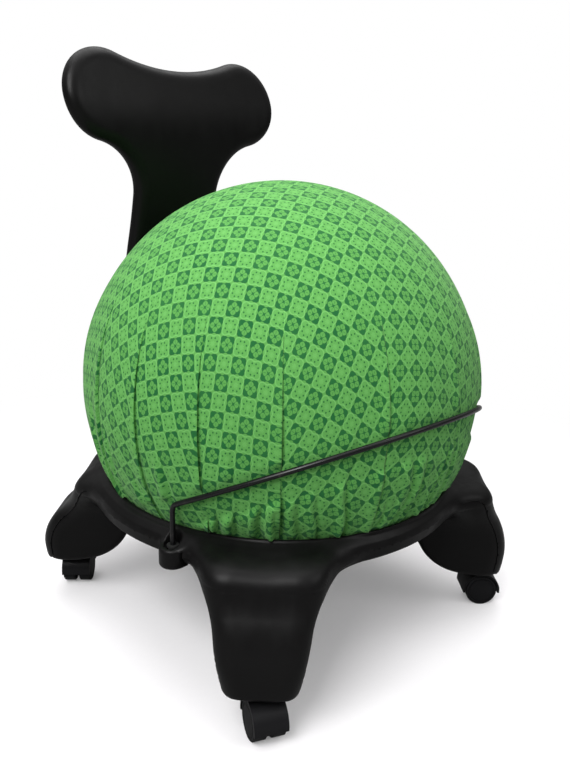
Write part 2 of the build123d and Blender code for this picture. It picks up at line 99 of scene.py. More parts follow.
def arc_curve(heading, *points):
    """A smooth function through (at, value) points, and its slope, both looked up from a fine table.
    It follows arcs, each tangent to the one before. The first leaves at heading degrees."""
    point, heading = complex(*points[0]), cmath.rect(1, math.radians(heading))
    path = [np.array([point])]
    steps = np.linspace(0, 1, 120)[1:]
    for end in points[1:]:
        chord = complex(*end) - point
        bend = cmath.phase(chord / heading)
        along = steps if abs(bend) < 1e-6 else np.sin(steps * bend) / math.sin(bend)
        path.append(point + abs(chord) * along * heading * np.exp(1j * steps * bend))
        point, heading = complex(*end), heading * cmath.rect(1, 2 * bend)
    path = np.concatenate(path)
    fine = np.linspace(path.real[0], path.real[-1], 1200)
    table = np.interp(fine, path.real, path.imag)
    steep = np.gradient(table, fine)
    return (lambda at: np.interp(at, fine, table)), (lambda at: np.interp(at, fine, steep))


# ------------------------------------------------------------------ mesh from a distance field

def smooth_max(a, b, k):
    h = np.maximum(k - np.abs(a - b), 0.0) / k
    return np.maximum(a, b) + h * h * k * 0.25


def smooth_min(a, b, k):
    return -smooth_max(-a, -b, k)


def polygon(u, v, corners):
    """Signed distance in a plane to a closed polygon, negative inside."""
    corners = np.array(corners, np.float32)
    best = np.full(u.shape, 1e9, np.float32)
    inside = np.zeros(u.shape, bool)
    for (ax, ay), (bx, by) in zip(corners, np.roll(corners, -1, axis=0)):
        ex, ey = bx - ax, by - ay
        wx, wy = u - ax, v - ay
        t = np.clip((wx * ex + wy * ey) / (ex * ex + ey * ey), 0.0, 1.0)
        best = np.minimum(best, (wx - ex * t) ** 2 + (wy - ey * t) ** 2)
        if abs(ey) > 1e-9:
            crosses = ((ay > v) != (by > v)) & (u < ex * wy / ey + ax)
            inside ^= crosses
    return np.where(inside, -1.0, 1.0) * np.sqrt(best)


BLOCK = 6


def sample(fields, axes, step):
    """Values of the largest field on a grid. Only blocks near the surface are worked out in full."""
    shape = [len(axis) for axis in axes]
    blocks = [-(-n // BLOCK) for n in shape]
    centres = [axis[0] + (np.arange(n) * BLOCK + BLOCK / 2 - 0.5) * step for axis, n in zip(axes, blocks)]
    coarse = np.stack(np.meshgrid(*centres, indexing="ij"), axis=-1).reshape(-1, 3).astype(np.float32)
    rough = fields(coarse).max(0)
    values = rough.reshape(blocks)
    for axis in range(3):
        values = np.repeat(values, BLOCK, axis=axis)
    near = np.abs(rough) < BLOCK * step * 0.87 * 1.7
    starts = np.stack(np.unravel_index(np.flatnonzero(near), blocks), axis=1) * BLOCK
    inner = np.stack(np.meshgrid(*[np.arange(BLOCK)] * 3, indexing="ij"), axis=-1).reshape(-1, 3)
    origin = np.array([axis[0] for axis in axes])
    for i in range(0, len(starts), 2000):
        cells = (starts[i:i + 2000, None] + inner).reshape(-1, 3)
        values[tuple(cells.T)] = fields((cells * step + origin).astype(np.float32)).max(0)
    return values[:shape[0], :shape[1], :shape[2]]


def surface_net(fields, low, high, step):
    """Closed quads on the zero level of the largest of several fields, all of them symmetric in X.
    Each vertex is pulled onto the surface, or onto the edge where two fields meet."""
    def folded(points):
        points = points.copy()
        points[:, 0] = np.abs(points[:, 0])
        return fields(points)

    starts = (step / 2, low[1] - 2 * step, low[2] - 2 * step)
    axes = [np.arange(a, b + 3 * step, step) for a, b in zip(starts, high)]
    half = sample(fields, axes, step)
    values = np.concatenate([half[::-1], half])
    origin = np.array([-axes[0][-1], axes[1][0], axes[2][0]])
    shape = values.shape
    cells = tuple(n - 1 for n in shape)
    corners = [(i, j, k) for i in (0, 1) for j in (0, 1) for k in (0, 1)]
    inside = values < 0
    count = np.zeros(cells, np.int8)
    for c in corners:
        count += inside[tuple(slice(o, o + n) for o, n in zip(c, cells))]
    ijk = np.argwhere((count > 0) & (count < 8))
    number = np.full(cells, -1, np.int32)
    number[tuple(ijk.T)] = np.arange(len(ijk))
    total = np.zeros((len(ijk), 3))
    hits = np.zeros(len(ijk))
    for a in corners:
        for axis in range(3):
            if a[axis]:
                continue
            b = list(a)
            b[axis] = 1
            fa = values[tuple((ijk + a).T)]
            fb = values[tuple((ijk + b).T)]
            crossing = (fa < 0) != (fb < 0)
            t = np.where(crossing, fa / np.where(crossing, fa - fb, 1.0), 0.0)
            total += (ijk + np.array(a) + np.eye(3)[axis] * t[:, None]) * crossing[:, None]
            hits += crossing
    verts = total / hits[:, None] * step + origin
    faces = []
    shift = np.eye(3, dtype=int)
    for axis in range(3):
        u, v = (axis + 1) % 3, (axis + 2) % 3
        near = inside[tuple(slice(0, n - 1) if i == axis else slice(0, n) for i, n in enumerate(shape))]
        far = inside[tuple(slice(1, n) if i == axis else slice(0, n) for i, n in enumerate(shape))]
        edges = np.argwhere(near != far)
        edges = edges[(edges[:, u] > 0) & (edges[:, v] > 0)]
        quad = np.stack([number[tuple((edges - d).T)] for d in
                         (shift[u] + shift[v], shift[v], 0 * shift[u], shift[u])], axis=1)
        flip = ~near[tuple(edges.T)]
        quad[flip] = quad[flip][:, ::-1]
        faces.append(quad)
    for _ in range(4):
        value = folded(verts.astype(np.float32)).astype(float)
        slope = np.stack([(folded((verts + e).astype(np.float32)) - folded((verts - e).astype(np.float32)))
                          / 0.6 for e in np.eye(3) * 0.3], axis=2).astype(float)
        largest = value.argmax(0)
        row = np.arange(len(verts))
        f0, g0 = value[largest, row], slope[largest, row]
        move = -(f0 / np.maximum((g0 ** 2).sum(1), 0.2))[:, None] * g0
        if len(value) > 1:
            other = 1 - largest
            f1, g1 = value[other, row], slope[other, row]
            a, b, c = (g0 * g0).sum(1), (g0 * g1).sum(1), (g1 * g1).sum(1)
            det = a * c - b * b
            edge = (np.abs(f1) < 0.6 * step) & (np.abs(f0) < step) & (det > 0.25 * a * c)
            det = np.where(edge, det, 1.0)
            both = (-(f0 * c - f1 * b) / det)[:, None] * g0 + (-(f1 * a - f0 * b) / det)[:, None] * g1
            move = np.where(edge[:, None], both, move)
        verts += np.clip(move, -step, step)
    return verts, np.concatenate(faces)


def add_mesh(name, verts, faces, body):
    """verts in mm, faces as lists of vertex numbers. Makes the piece and rides it on its body."""
    mesh = bpy.data.meshes.new(name)
    mesh.from_pydata((np.asarray(verts, float) * MM).tolist(), [], faces)
    mesh.validate()
    mesh.update()
    mesh.polygons.foreach_set("use_smooth", [True] * len(mesh.polygons))
    piece = bpy.data.objects.new(name, mesh)
    bpy.context.scene.collection.objects.link(piece)
    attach(piece, body)
    return piece


def moulded(name, fields, low, high, node, material, step):
    """One moulded shell: meshed, given crisp normals at its parting edges, and swapped for its CAD node."""
    verts, faces = surface_net(fields, low, high, step)
    piece = add_mesh(name, verts, faces.tolist(), "base")
    piece.data.set_sharp_from_angle(angle=math.radians(50))
    piece.data.materials.append(material)
    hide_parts(node)
    return piece


# ------------------------------------------------------------------ node helper for materials

class Nodes:
    """Short calls for building one material's node tree."""

    def __init__(self, name):
        self.material = bpy.data.materials.new(name)
        self.material.use_nodes = True
        self.tree = self.material.node_tree
        self.tree.nodes.clear()
        self.out = self.tree.nodes.new("ShaderNodeOutputMaterial")
        self.shader = self.tree.nodes.new("ShaderNodeBsdfPrincipled")
        self.tree.links.new(self.shader.outputs[0], self.out.inputs[0])

    def put(self, socket, value):
        if isinstance(value, bpy.types.NodeSocket):
            self.tree.links.new(value, socket)
        elif value is not None:
            socket.default_value = value

    def math(self, operation, a, b=None):
        node = self.tree.nodes.new("ShaderNodeMath")
        node.operation = operation
        for socket, value in zip(node.inputs, (a, b)):
            self.put(socket, value)
        return node.outputs[0]

    def ramp(self, value, low, high, to_low=0.0, to_high=1.0):
        node = self.tree.nodes.new("ShaderNodeMapRange")
        node.interpolation_type = "SMOOTHSTEP"
        for socket, number in zip(node.inputs, (value, low, high, to_low, to_high)):
            self.put(socket, number)
        return node.outputs[0]

    def mix(self, share, a, b):
        node = self.tree.nodes.new("ShaderNodeMix")
        node.data_type = "RGBA"
        self.put(node.inputs[0], share)
        self.put(node.inputs[6], a)
        self.put(node.inputs[7], b)
        return node.outputs[2]

    def place(self):
        return self.tree.nodes.new("ShaderNodeTexCoord").outputs["Object"]

    def noise(self, scale, detail=3.0, rough=0.5, place=None):
        node = self.tree.nodes.new("ShaderNodeTexNoise")
        self.put(node.inputs["Vector"], place or self.place())
        self.put(node.inputs["Scale"], scale)
        self.put(node.inputs["Detail"], detail)
        self.put(node.inputs["Roughness"], rough)
        return node.outputs[0]

    def stretched(self, factors):
        node = self.tree.nodes.new("ShaderNodeMapping")
        self.put(node.inputs["Vector"], self.place())
        node.inputs["Scale"].default_value = factors
        return node.outputs[0]

    def bump(self, height, distance, strength=1.0, under=None):
        node = self.tree.nodes.new("ShaderNodeBump")
        self.put(node.inputs["Height"], height)
        node.inputs["Distance"].default_value = distance
        node.inputs["Strength"].default_value = strength
        if under:
            self.put(node.inputs["Normal"], under)
        return node.outputs[0]

    def finish(self, **inputs):
        for name, value in inputs.items():
            self.put(self.shader.inputs[name.replace("_", " ")], value)
        return self.material


def grey(level, tint=(1.0, 1.0, 1.0)):
    return (level * tint[0], level * tint[1], level * tint[2], 1.0)


def moulded_plastic(name, level, roughness, grain=0.00004, tint=(1.02, 0.98, 1.0), shine=0.12):
    """Black moulded plastic: fine spark grain, slow waviness of the wall, rubbed edges and faint dust."""
    n = Nodes(name)
    grain_noise = n.noise(2600.0, 2.0, 0.6)
    waves = n.noise(22.0, 2.0)
    rub = n.noise(7.0, 4.0, 0.6)
    streak = n.noise(60.0, 5.0, 0.7, n.stretched((1.0, 1.0, 0.25)))
    edge = n.tree.nodes.new("ShaderNodeNewGeometry").outputs["Pointiness"]
    worn = n.ramp(edge, 0.53, 0.60)
    up = n.tree.nodes.new("ShaderNodeSeparateXYZ")
    n.put(up.inputs[0], n.tree.nodes.new("ShaderNodeNewGeometry").outputs["Normal"])
    dust = n.math("MULTIPLY", n.ramp(up.outputs[2], 0.5, 1.0), n.ramp(rub, 0.45, 0.75))
    colour = n.mix(n.ramp(rub, 0.3, 0.7), grey(level, tint), grey(level * 1.5, tint))
    colour = n.mix(n.math("MULTIPLY", worn, 0.35), colour, grey(level * 4.0, tint))
    colour = n.mix(n.math("MULTIPLY", dust, 0.03), colour, grey(0.20))
    rough = n.math("ADD", n.ramp(streak, 0.3, 0.75, roughness - 0.06, roughness + 0.07),
                   n.math("MULTIPLY", dust, 0.12))
    normal = n.bump(waves, 0.0011, 0.35)
    normal = n.bump(grain_noise, grain, 0.6, normal)
    return n.finish(Base_Color=colour, Roughness=rough, Normal=normal, Specular_IOR_Level=shine)


def coated_steel(name):
    """Gloss black coating on rod, with slight orange peel and rubbed spots."""
    n = Nodes(name)
    peel = n.noise(900.0, 2.0)
    rub = n.noise(45.0, 4.0, 0.65)
    colour = n.mix(n.ramp(rub, 0.62, 0.72), grey(0.004, (1.0, 1.0, 1.1)), grey(0.02, (1.1, 1.0, 0.95)))
    return n.finish(Base_Color=colour, Roughness=n.ramp(rub, 0.3, 0.7, 0.22, 0.38), Coat_Weight=0.12,
                    Coat_Roughness=0.15, Specular_IOR_Level=0.25, Normal=n.bump(peel, 0.00003, 0.5))


def metal(name, colour, roughness):
    """Turned or plated metal with fine machining lines and small tarnish."""
    n = Nodes(name)
    lines = n.noise(1500.0, 3.0, 0.6, n.stretched((0.15, 0.15, 3.0)))
    tarnish = n.noise(120.0, 4.0, 0.6)
    dark = tuple(c * 0.6 for c in colour[:3]) + (1.0,)
    return n.finish(Base_Color=n.mix(n.ramp(tarnish, 0.45, 0.7), colour, dark), Metallic=1.0,
                    Roughness=n.ramp(lines, 0.3, 0.7, roughness - 0.08, roughness + 0.1),
                    Normal=n.bump(lines, 0.00003, 0.5))


def rubber(name, colour, roughness):
    n = Nodes(name)
    bloom = n.noise(35.0, 4.0, 0.6)
    pores = n.noise(1800.0, 2.0)
    pale = tuple(min(1.0, c * 1.35 + 0.01) for c in colour[:3]) + (1.0,)
    return n.finish(Base_Color=n.mix(n.ramp(bloom, 0.4, 0.75), colour, pale), Roughness=roughness,
                    Normal=n.bump(pores, 0.00004, 0.5))


def cord_weave(name, colour):
    """Braided elastic: two crossing diagonal waves, with painted shade darkening the hollows between the
    strands.
    """
    n = Nodes(name)
    split = n.tree.nodes.new("ShaderNodeSeparateXYZ")
    n.put(split.inputs[0], n.place())
    turn = n.math("ARCTAN2", split.outputs[1], split.outputs[0])
    fast = n.math("SINE", n.math("ADD", n.math("MULTIPLY", turn, 420.0),
                                 n.math("MULTIPLY", split.outputs[2], 2600.0)))
    slow = n.math("SINE", n.math("SUBTRACT", n.math("MULTIPLY", turn, 420.0),
                                 n.math("MULTIPLY", split.outputs[2], 2600.0)))
    braid = n.math("MAXIMUM", fast, slow)
    # painted shade: the colour drops to half where the braid is low, in the hollows between strands
    dark = tuple(c * 0.5 for c in colour[:3]) + (1.0,)
    return n.finish(Base_Color=n.mix(n.ramp(braid, -0.2, 0.9), dark, colour), Roughness=0.8,
                    Normal=n.bump(braid, 0.0002, 0.8))


TILE = 20.0 * MM
LIGHT_GREEN = (0.092, 0.320, 0.064, 1.0)
PALE_GREEN = (0.165, 0.460, 0.120, 1.0)
DARK_GREEN = (0.006, 0.105, 0.024, 1.0)


def printed_cotton(name):
    """Two-tone checked print: petal tiles and dotted tiles with scalloped outlines, on plain-woven cotton."""
    n = Nodes(name)
    print_map = n.tree.nodes.new("ShaderNodeUVMap")
    print_map.uv_map = "print"
    split = n.tree.nodes.new("ShaderNodeSeparateXYZ")
    n.put(split.inputs[0], print_map.outputs[0])
    u = n.math("DIVIDE", split.outputs[0], TILE)
    v = n.math("DIVIDE", split.outputs[1], TILE)
    column, row = n.math("FLOOR", u), n.math("FLOOR", v)
    odd = n.math("PINGPONG", n.math("ADD", column, row), 1.0)
    a = n.math("SUBTRACT", n.math("SUBTRACT", u, column), 0.5)
    b = n.math("SUBTRACT", n.math("SUBTRACT", v, row), 0.5)
    abs_a, abs_b = n.math("ABSOLUTE", a), n.math("ABSOLUTE", b)
    far, near = n.math("MAXIMUM", abs_a, abs_b), n.math("MINIMUM", abs_a, abs_b)
    # the border between two tiles, scalloped to and fro
    bulge = n.math("MULTIPLY", n.math("COSINE", n.math("MULTIPLY", near, 4 * math.pi)), -0.042)
    side = n.math("SUBTRACT", 1.0, n.math("MULTIPLY", odd, 2.0))
    border = n.math("ABSOLUTE", n.math("SUBTRACT", n.math("SUBTRACT", 0.5, far),
                                       n.math("MULTIPLY", side, n.math("SUBTRACT", 0.045, bulge))))
    outline = n.ramp(border, 0.020, 0.050, 1.0, 0.0)
    past = n.math("SUBTRACT", n.math("SUBTRACT", 0.5, far), n.math("SUBTRACT", 0.045, bulge))
    ground = n.ramp(past, -0.012, 0.012)
    # petal tile: four pale leaves and their notched tips, with the dark ground left as a diagonal cross
    across = n.math("DIVIDE", n.math("SUBTRACT", far, 0.225), 0.165)
    leaf = n.math("MULTIPLY", n.math("SUBTRACT", 1.0, n.math("MULTIPLY", across, across)), 0.175)
    leaves = n.ramp(n.math("SUBTRACT", near, leaf), -0.018, 0.018, 1.0, 0.0)
    vein = n.math("ADD", near, n.math("MULTIPLY", n.math("ABSOLUTE", across), 0.02))
    vein = n.ramp(vein, 0.014, 0.030, 1.0, 0.0)
    leaves = n.math("MULTIPLY", leaves, n.math("SUBTRACT", 1.0, n.math("MULTIPLY", vein, 0.55)))
    petal_tile = n.mix(leaves, DARK_GREEN, LIGHT_GREEN)
    petal_tile = n.mix(ground, LIGHT_GREEN, petal_tile)
    # dotted tile: eight dots, two by each side, on a faint rosette and a fine diagonal hatch
    dot = n.math("SQRT", n.math("ADD", n.math("POWER", n.math("SUBTRACT", far, 0.30), 2.0),
                                n.math("POWER", n.math("SUBTRACT", near, 0.13), 2.0)))
    dots = n.ramp(dot, 0.036, 0.066, 1.0, 0.0)
    radius = n.math("SQRT", n.math("ADD", n.math("MULTIPLY", a, a), n.math("MULTIPLY", b, b)))
    petals = n.math("ABSOLUTE", n.math("SINE", n.math("MULTIPLY", n.math("ARCTAN2", b, a), 4.0)))
    rosette = n.ramp(n.math("SUBTRACT", radius, n.math("MULTIPLY", petals, 0.10)), 0.05, 0.11, 1.0, 0.0)
    dot_tile = n.mix(n.math("MULTIPLY", rosette, 0.35), LIGHT_GREEN, PALE_GREEN)
    hatch = n.math("SINE", n.math("MULTIPLY", n.math("ADD", a, b), 22 * math.pi))
    dot_tile = n.mix(n.ramp(hatch, 0.2, 0.9, 0.0, 0.45), dot_tile, PALE_GREEN)
    dot_tile = n.mix(dots, dot_tile, DARK_GREEN)
    colour = n.mix(odd, dot_tile, petal_tile)
    colour = n.mix(n.math("MULTIPLY", outline, 0.85), colour, PALE_GREEN)
    # cotton: uneven dye, slubs and the weave itself
    fade = n.noise(14.0, 3.0, 0.6)
    slub = n.noise(900.0, 3.0, 0.7, print_map.outputs[0])
    colour = n.mix(n.ramp(fade, 0.3, 0.7, 0.0, 0.10), colour, LIGHT_GREEN)
    colour = n.mix(n.ramp(slub, 0.35, 0.75, 0.0, 0.16), colour, DARK_GREEN)
    thread = 2 * math.pi / (0.7 * MM)
    warp = n.math("SINE", n.math("MULTIPLY", split.outputs[0], thread))
    weft = n.math("SINE", n.math("MULTIPLY", split.outputs[1], thread))
    weave = n.math("MULTIPLY", warp, weft)
    normal = n.bump(n.noise(60.0, 3.0, 0.55), 0.0006, 0.35)
    normal = n.bump(weave, 0.00005, 0.5, normal)
    return n.finish(Base_Color=colour, Roughness=0.88, Sheen_Weight=0.12, Sheen_Roughness=0.5,
                    Sheen_Tint=(0.7, 1.0, 0.6, 1.0), Specular_IOR_Level=0.25, Normal=normal)


base_plastic = moulded_plastic("base_plastic", 0.0035, 0.37)
back_plastic = moulded_plastic("backrest_plastic", 0.0032, 0.36)
hood_plastic = moulded_plastic("caster_plastic", 0.0045, 0.36, 0.00003, (1.0, 0.99, 1.08))
wheel_plastic = moulded_plastic("wheel_plastic", 0.006, 0.48, 0.00006, (1.0, 1.0, 1.1))
socket_plastic = moulded_plastic("socket_plastic", 0.008, 0.5)
bar_coat = coated_steel("bar_coat")
zinc = metal("zinc_plate", (0.60, 0.60, 0.61, 1.0), 0.32)
brass = metal("turned_brass", (0.72, 0.52, 0.22, 1.0), 0.35)
black_oxide = metal("black_oxide", (0.06, 0.06, 0.065, 1.0), 0.42)
bush_rubber = rubber("bush_rubber", (0.012, 0.012, 0.012, 1.0), 0.6)
ball_rubber = rubber("ball_rubber", (0.10, 0.13, 0.17, 1.0), 0.5)
plug_plastic = rubber("plug_plastic", (0.72, 0.72, 0.68, 1.0), 0.35)
cotton = printed_cotton("printed_cotton")
elastic = cord_weave("elastic_braid", (0.55, 0.62, 0.50, 1.0))


# ------------------------------------------------------------------ base shells

NET_STEP = 1.9
GAP = 0.7
LOWER_INSET = 0.8
RING_SECTION = [(RING_R - 1, CREASE_Z + 0.5), (RING_R - 2.5, CREASE_Z - 12), (RING_R - 9, CREASE_Z - 17),
                (200, CREASE_Z - 20), (200, LIP_Z - 1.2), (RING_R - 16, LIP_Z - 1.2),
                (RING_R - 9, LIP_Z - 5.0), (RING_R - 3.5, LIP_Z - 11.5)]
LEG_REACH = 330.0
FRONT_REACH = arc_curve(9, (FOOT_Z - 6, LEG_REACH - 3), (88, LEG_REACH + 0.5), (150, 314), (182, 302.5),
                        (214, 295))
REAR_REACH = arc_curve(10, (FOOT_Z - 6, LEG_REACH - 3), (78, LEG_REACH), (134, 305.5), (165, 282.5),
                       (214, 266))
UNDERSIDE = arc_curve(-27, (150, 161), (207, 104), (265, 60), (340, 56))
HALF_WIDTH = arc_curve(14, (50, 41.5), (126, 56.5), (178, 101), (210, 119))
HALF_PLAN = arc_curve(-16, (180, 130), (240, 96), (290, 68), (340, 62))
LEG_DIP = 5.0


def leg_frames(points):
    """Outward and sideways coordinates of the front and the rear leg on the +X side."""
    half = np.float32(math.sqrt(0.5))
    x, y = points[:, 0], points[:, 1]
    yield (x - y) * half, (x + y) * half, FRONT_REACH
    yield (x + y) * half, (y - x) * half, REAR_REACH


def limit(value, curve, at):
    """Distance from the smooth curve value = curve(at), positive past it."""
    shape, slope = curve
    return (value - shape(at)) / np.sqrt(1 + slope(at) ** 2)


def leg_field(rho, t, z, reach):
    across = np.abs(t)
    side = smooth_max(limit(across, HALF_WIDTH, z), limit(across, HALF_PLAN, rho), 14.0)
    solid = smooth_max(limit(rho, reach, z), side, 28.0)
    top = z - (RIM_Z + 3.0 - LEG_DIP * np.exp(-(t / 42.0) ** 2))
    solid = smooth_max(solid, top, 26.0)
    return smooth_max(solid, -limit(z, UNDERSIDE, rho), 10.0)


def base_form(points):
    x, y, z = points.T
    solid = polygon(np.hypot(x, y), z, RING_SECTION) - 1.2
    for rho, t, reach in leg_frames(points):
        solid = smooth_min(solid, leg_field(rho, t, z, reach), 14.0)
    around = np.hypot(x - BOSS_X, y - BOSS_Y)
    boss = smooth_max(around - BOSS_R, np.abs(z - (BOSS_TOP - BOSS_HALF_HIGH)) - BOSS_HALF_HIGH, 5.0)
    solid = smooth_min(solid, boss, 9.0)
    pad = np.maximum(np.abs(x) - PAD_HALF_WIDE, np.abs(y - PAD_Y) - PAD_HALF_DEEP)
    pad = np.maximum(pad, np.abs(z - PAD_Z) - PAD_HALF_HIGH) + PAD_ROUND
    return smooth_min(solid, pad - PAD_ROUND, 6.0)


def parting(points):
    """Negative where the lower shell is, positive where the upper shell is."""
    y, z = points[:, 1], points[:, 2]
    splits = []
    for rho, t, reach in leg_frames(points):
        across = np.abs(t)
        behind_face = limit(rho + 15.0, reach, z)
        sole = z - (FOOT_Z + 7.0 - 3.0 * (across / 30.0) ** 2)
        leg = smooth_min(smooth_max(behind_face, z - CREASE_Z, 20.0), sole, 16.0)
        ring = z - CREASE_Z
        here = leg + (ring - leg) * smoothstep(74.0, 100.0, across)
        splits.append(np.where(rho > 150, here, ring))
    front_split, rear_split = splits
    return np.where(y < 0, front_split, rear_split)


def upper_only(points):
    """Negative in the bar bosses and the backrest pad, which are moulded whole with the upper shell."""
    x, y, _ = points.T
    pad = np.maximum(np.abs(x) - PAD_HALF_WIDE, np.abs(y - PAD_Y) - PAD_HALF_DEEP)
    return np.minimum(np.hypot(x - BOSS_X, y - BOSS_Y) - BOSS_R - 1.0, pad)


def dish_distance(points):
    return np.sqrt(((points - BALL.astype(np.float32)) ** 2).sum(1))


def upper_fields(points):
    depth = dish_distance(points)
    x, y, z = points.T
    middle = DISH_R + DISH_WALL * 0.5
    body = smooth_max(base_form(points), middle - depth, 3.0)
    dish = smooth_max(np.abs(depth - middle) - DISH_WALL * 0.5, z - LIP_Z, 2.5)
    around = np.hypot(x - BOSS_X, y - BOSS_Y)
    bore = np.maximum(around - BOSS_BORE_R, BOSS_TOP - BOSS_BORE_DEEP - z)
    cup = smooth_max(around - BOSS_CUP_R, BOSS_TOP - BOSS_CUP_DEEP - z, 2.0)
    hole = np.minimum(bore, cup)
    split = GAP / 2 - parting(points)
    above_split = np.minimum(np.minimum(split, dish), upper_only(points))
    solid = np.maximum(smooth_min(body, dish, 3.0), np.maximum(DISH_R - depth, -hole))
    return np.stack([solid, above_split])


def lower_fields(points):
    depth = dish_distance(points)
    x, y, z = points.T
    body = smooth_max(base_form(points) + LOWER_INSET, DISH_R + DISH_WALL + 0.6 - depth, 3.0)
    socket = np.maximum(np.hypot(x - FOOT_X, np.abs(y) - FOOT_X) - SOCKET_R, z - FOOT_Z - SOCKET_DEEP)
    cut = np.minimum(socket, upper_only(points) - GAP)
    return np.stack([np.maximum(body, -cut), parting(points) + GAP / 2])


lip_hi = np.maximum(upper_hi, (0, 0, LIP_Z))
moulded("base_upper_shell_form", upper_fields, upper_lo, lip_hi, "base_upper_shell", base_plastic,
        NET_STEP)
moulded("base_lower_shell_form", lower_fields, lower_lo, lower_hi, "base_lower_shell", base_plastic,
        NET_STEP)


# ------------------------------------------------------------------ backrest

LOBE_X = screws_hi[0] - 3.8
LOBE_Z = screws_hi[2] - 3.8
LOBE_R = back_hi[0] - LOBE_X
DIP_ANGLE = math.radians(20)
NECK_HALF = 74.0
NECK_FILLET = 75.0
PANEL_HALF = 16.0
STEM_Y = 278.0
SPINE = arc_curve(0, (130, STEM_Y), (330, STEM_Y), (500, 253), (640, 226), (700, 230.5), (800, 254.8))
BOLT_X = 38.0
BOLT_ROWS = (160, 188)
BOLT_POCKET_R = 9.2
BOLT_SEAT_Y = 284.0
SCREW_POCKET_R = 4.1
UPPER_SEAT_Y = 245.6
LOWER_SCREW_X, LOWER_SCREW_Z = 40.0, 560.0
LOWER_SEAT_Y = 253.2


def backrest_outline():
    """The panel's front view on the +X side: lobe, top dip, waist and straight neck, as one polygon."""
    corner_x = NECK_HALF + NECK_FILLET
    drop = math.sqrt((LOBE_R + NECK_FILLET) ** 2 - (LOBE_X - corner_x) ** 2)
    corner_z = LOBE_Z - drop
    touch = math.atan2(drop, LOBE_X - corner_x)
    dip_r = (LOBE_X - LOBE_R * math.sin(DIP_ANGLE)) / math.sin(DIP_ANGLE)
    dip_z = LOBE_Z + (LOBE_R + dip_r) * math.cos(DIP_ANGLE)
    points = [(dip_r * math.sin(a), dip_z - dip_r * math.cos(a))
              for a in np.linspace(-DIP_ANGLE, DIP_ANGLE, 25)]
    points += [(LOBE_X + LOBE_R * math.cos(a), LOBE_Z + LOBE_R * math.sin(a))
               for a in np.linspace(math.pi / 2 + DIP_ANGLE, touch - math.pi, 60)[1:-1]]
    points += [(corner_x + NECK_FILLET * math.cos(a), corner_z + NECK_FILLET * math.sin(a))
               for a in np.linspace(touch, math.pi, 24)]
    points.append((NECK_HALF, back_lo[2]))
    right = points[13:]
    return right + [(-x, z) for x, z in right[::-1]]


grid_x, grid_z = np.meshgrid(np.arange(0, 200.0), np.arange(back_lo[2] - 16, back_hi[2] + 16), indexing="ij")
OUTLINE = polygon(grid_x.astype(np.float32), grid_z.astype(np.float32), backrest_outline())


def outline_distance(across, z):
    """The outline's distance, read from a 1 mm table."""
    u = np.clip(across, 0, OUTLINE.shape[0] - 1.001)
    v = np.clip(z - (back_lo[2] - 16), 0, OUTLINE.shape[1] - 1.001)
    i, j = u.astype(int), v.astype(int)
    fu, fv = u - i, v - j
    low = OUTLINE[i, j] * (1 - fu) + OUTLINE[i + 1, j] * fu
    high = OUTLINE[i, j + 1] * (1 - fu) + OUTLINE[i + 1, j + 1] * fu
    return low * (1 - fv) + high * fv


def panel_field(points):
    x, y, z = points.T
    outline = outline_distance(np.abs(x), z)
    offset = limit(y, SPINE, z)
    solid = smooth_max(outline, -offset - PANEL_HALF, 20.0)
    return smooth_max(solid, offset - PANEL_HALF, 26.0), offset


def front_fields(points):
    solid, offset = panel_field(points)
    return np.stack([solid, offset + 0.25])


def rear_fields(points):
    solid, offset = panel_field(points)
    x, y, z = points.T
    pockets = [(BOLT_X, row, BOLT_POCKET_R, BOLT_SEAT_Y) for row in BOLT_ROWS]
    pockets.append((LOBE_X, LOBE_Z, SCREW_POCKET_R, UPPER_SEAT_Y))
    pockets.append((LOWER_SCREW_X, LOWER_SCREW_Z, SCREW_POCKET_R, LOWER_SEAT_Y))
    for hole_x, hole_z, hole_r, seat in pockets:
        solid = np.maximum(solid, -np.maximum(np.hypot(np.abs(x) - hole_x, z - hole_z) - hole_r, seat - y))
    return np.stack([solid, 0.25 - offset])


moulded("backrest_front_form", front_fields, back_lo, back_hi, "backrest_front_shell", back_plastic,
        NET_STEP)
moulded("backrest_rear_form", rear_fields, rear_lo, rear_hi, "backrest_rear_shell", back_plastic,
        NET_STEP)


# ------------------------------------------------------------------ fabric cover

PLEAT_TURNS = (-154, -133, -106, -81, -58, -34, -10, 14, 38, 62, 88, 114, 141, 168, 187)
COLUMNS = 56
ROWS = 240
HEM_ROWS = 9
GATHERS = 96
HEM = math.pi - math.asin((cord_hi[0] - cord_lo[0]) / 2 / BALL_R)
PRINT_TURN = math.radians(31)


def ease(value, low_degrees, high_degrees):
    return smoothstep(math.radians(low_degrees), math.radians(high_degrees), value)


def knife_fold(s, width):
    """Cross-section of a fold: a soft crest on one side, then a narrow valley."""
    crest = np.exp(-((s + 0.55 * width) / (0.6 * width)) ** 2)
    valley = np.exp(-((s - 0.18 * width) / (0.28 * width)) ** 2)
    return 0.75 * crest - valley


